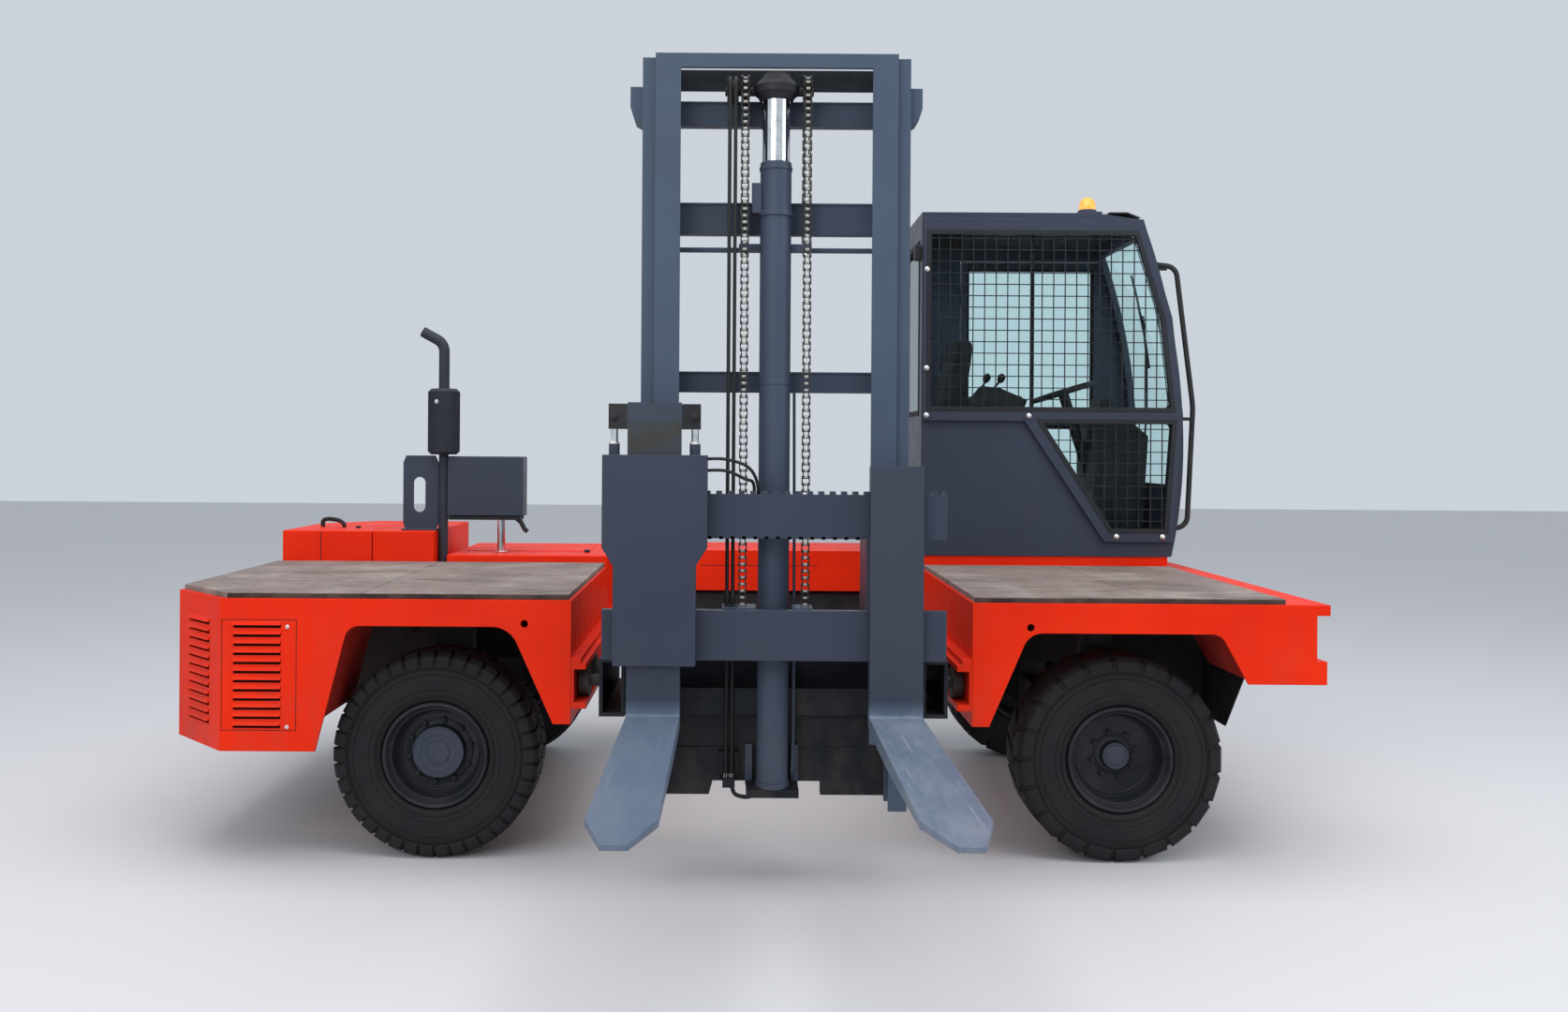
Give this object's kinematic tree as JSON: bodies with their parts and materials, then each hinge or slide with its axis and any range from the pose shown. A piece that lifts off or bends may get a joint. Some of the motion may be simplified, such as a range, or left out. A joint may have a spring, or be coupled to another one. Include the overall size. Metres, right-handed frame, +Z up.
{
  "type": "side loader forklift",
  "caption": "side loader forklift with a mast that reaches out sideways from a well between two load decks, a cab at one end, forks raised a little and solid tyres",
  "frame": {"origin": "on the ground, at the centre of the whole box", "axes": "+X forward, towards the cab end; -Y is the loading side; +Z up"},
  "size_m": [4.672, 4.118, 3.171],
  "materials": {
    "body_paint": "gloss orange-red paint, rain-washed",
    "mast_paint": "satin slate-grey paint",
    "cab_paint": "satin slate-grey paint",
    "fork_paint": "worn slate-grey paint",
    "black_steel": "black paint, dusty",
    "rim_paint": "black paint, dirty",
    "tyre": "solid rubber, dusty",
    "boards": "weathered brown-grey plywood",
    "chrome": "chromed rod",
    "chain": "greased chain",
    "glass": "green tinted glass",
    "grille": "black wire mesh",
    "seat": "black cloth",
    "plastic": "black plastic",
    "exhaust": "matt heat-proof paint",
    "iron": "cast iron",
    "lamp": "amber lamp",
    "hose": "black hose"
  },
  "bodies": {
    "chassis": {"rear_pod": "body_paint", "front_pod": "body_paint", "wheel_liners": "black_steel", "deck_boards": "boards", "chassis_frame": "body_paint", "mast_rails": "body_paint", "tank": "black_steel", "engine_block": "iron", "rear_axle": "black_steel", "front_axle": "black_steel", "service_covers": "body_paint", "exhaust": "exhaust", "exhaust_stand": "cab_paint", "box_posts": "chrome", "cab_shell": "cab_paint", "cab_plinth": "body_paint", "cab_roof": "cab_paint", "cab_glass": "glass", "window_grilles": "grille", "seat_cushions": "seat", "cab_fittings": "plastic", "beacon": "lamp", "cab_access": "black_steel"},
    "reach": {"outer_mast": "mast_paint", "lift_cylinder": "mast_paint", "mast_cradle": "mast_paint", "cradle_rollers": "iron", "chain_rear": "chain"},
    "lift": {"inner_mast": "mast_paint", "lift_rod": "chrome"},
    "carriage": {"fork_carriage": "mast_paint", "fork_housing": "mast_paint", "right_fork": "fork_paint", "chain_front": "chain"},
    "leveller": {"left_fork": "fork_paint"},
    "hood": {"engine_hood": "body_paint"},
    "door": {"cab_door": "cab_paint", "door_glass": "glass"},
    "steer_near": {"knuckle_near": "black_steel"},
    "steer_far": {"knuckle_far": "black_steel"},
    "wheel_rear_near": {"rim_rear_near": "rim_paint", "tyre_rear_near": "tyre"},
    "wheel_rear_far": {"rim_rear_far": "rim_paint", "tyre_rear_far": "tyre"},
    "wheel_front_near": {"rim_front_near": "rim_paint", "tyre_front_near": "tyre"},
    "wheel_front_far": {"rim_front_far": "rim_paint", "tyre_front_far": "tyre"}
  },
  "joints": [
    {"name": "mast_reach", "type": "slide", "parent": "chassis", "child": "reach", "axis": [0, 1, 0], "range_m": [0, 1.2]},
    {"name": "mast_lift", "type": "slide", "parent": "reach", "child": "lift", "axis": [0, 0, 1], "range_m": [-0.23, 1.4], "deforming": ["chain_rear"]},
    {"name": "carriage_lift", "type": "slide", "parent": "lift", "child": "carriage", "axis": [0, 0, 1], "range_m": [-0.23, 1.4], "deforming": ["chain_front"]},
    {"name": "fork_level", "type": "slide", "parent": "carriage", "child": "leveller", "axis": [0, 0, 1], "range_m": [-0.04, 0.1]},
    {"name": "hood_hinge", "type": "hinge", "parent": "chassis", "child": "hood", "pos_m": [-1.95, 2.047, 1.0713], "axis": [-1, 0, 0], "range_deg": [0, 65]},
    {"name": "door_hinge", "type": "hinge", "parent": "chassis", "child": "door", "pos_m": [1.253, 2.048, 1.9], "axis": [0, 0, 1], "range_deg": [0, 95]},
    {"name": "steer_near_pivot", "type": "hinge", "parent": "chassis", "child": "steer_near", "pos_m": [1.553, 0.257, 0.42], "axis": [0, 0, 1], "range_deg": [-35, 35]},
    {"name": "steer_far_pivot", "type": "hinge", "parent": "chassis", "child": "steer_far", "pos_m": [1.553, 1.611, 0.42], "axis": [0, 0, 1], "range_deg": [-35, 35]},
    {"name": "roll_rear_near", "type": "hinge", "parent": "chassis", "child": "wheel_rear_near", "pos_m": [-1.233, 0.067, 0.42], "axis": [0, 1, 0], "continuous": true},
    {"name": "roll_rear_far", "type": "hinge", "parent": "chassis", "child": "wheel_rear_far", "pos_m": [-1.233, 1.801, 0.42], "axis": [0, 1, 0], "continuous": true},
    {"name": "roll_front_near", "type": "hinge", "parent": "steer_near", "child": "wheel_front_near", "pos_m": [1.553, 0.067, 0.42], "axis": [0, 1, 0], "continuous": true},
    {"name": "roll_front_far", "type": "hinge", "parent": "steer_far", "child": "wheel_front_far", "pos_m": [1.553, 1.801, 0.42], "axis": [0, 1, 0], "continuous": true}
  ],
  "couplings": [
    {"joint": "carriage_lift", "follows": "mast_lift", "ratio": 1},
    {"joint": "steer_far_pivot", "follows": "steer_near_pivot", "ratio": 1}
  ]
}
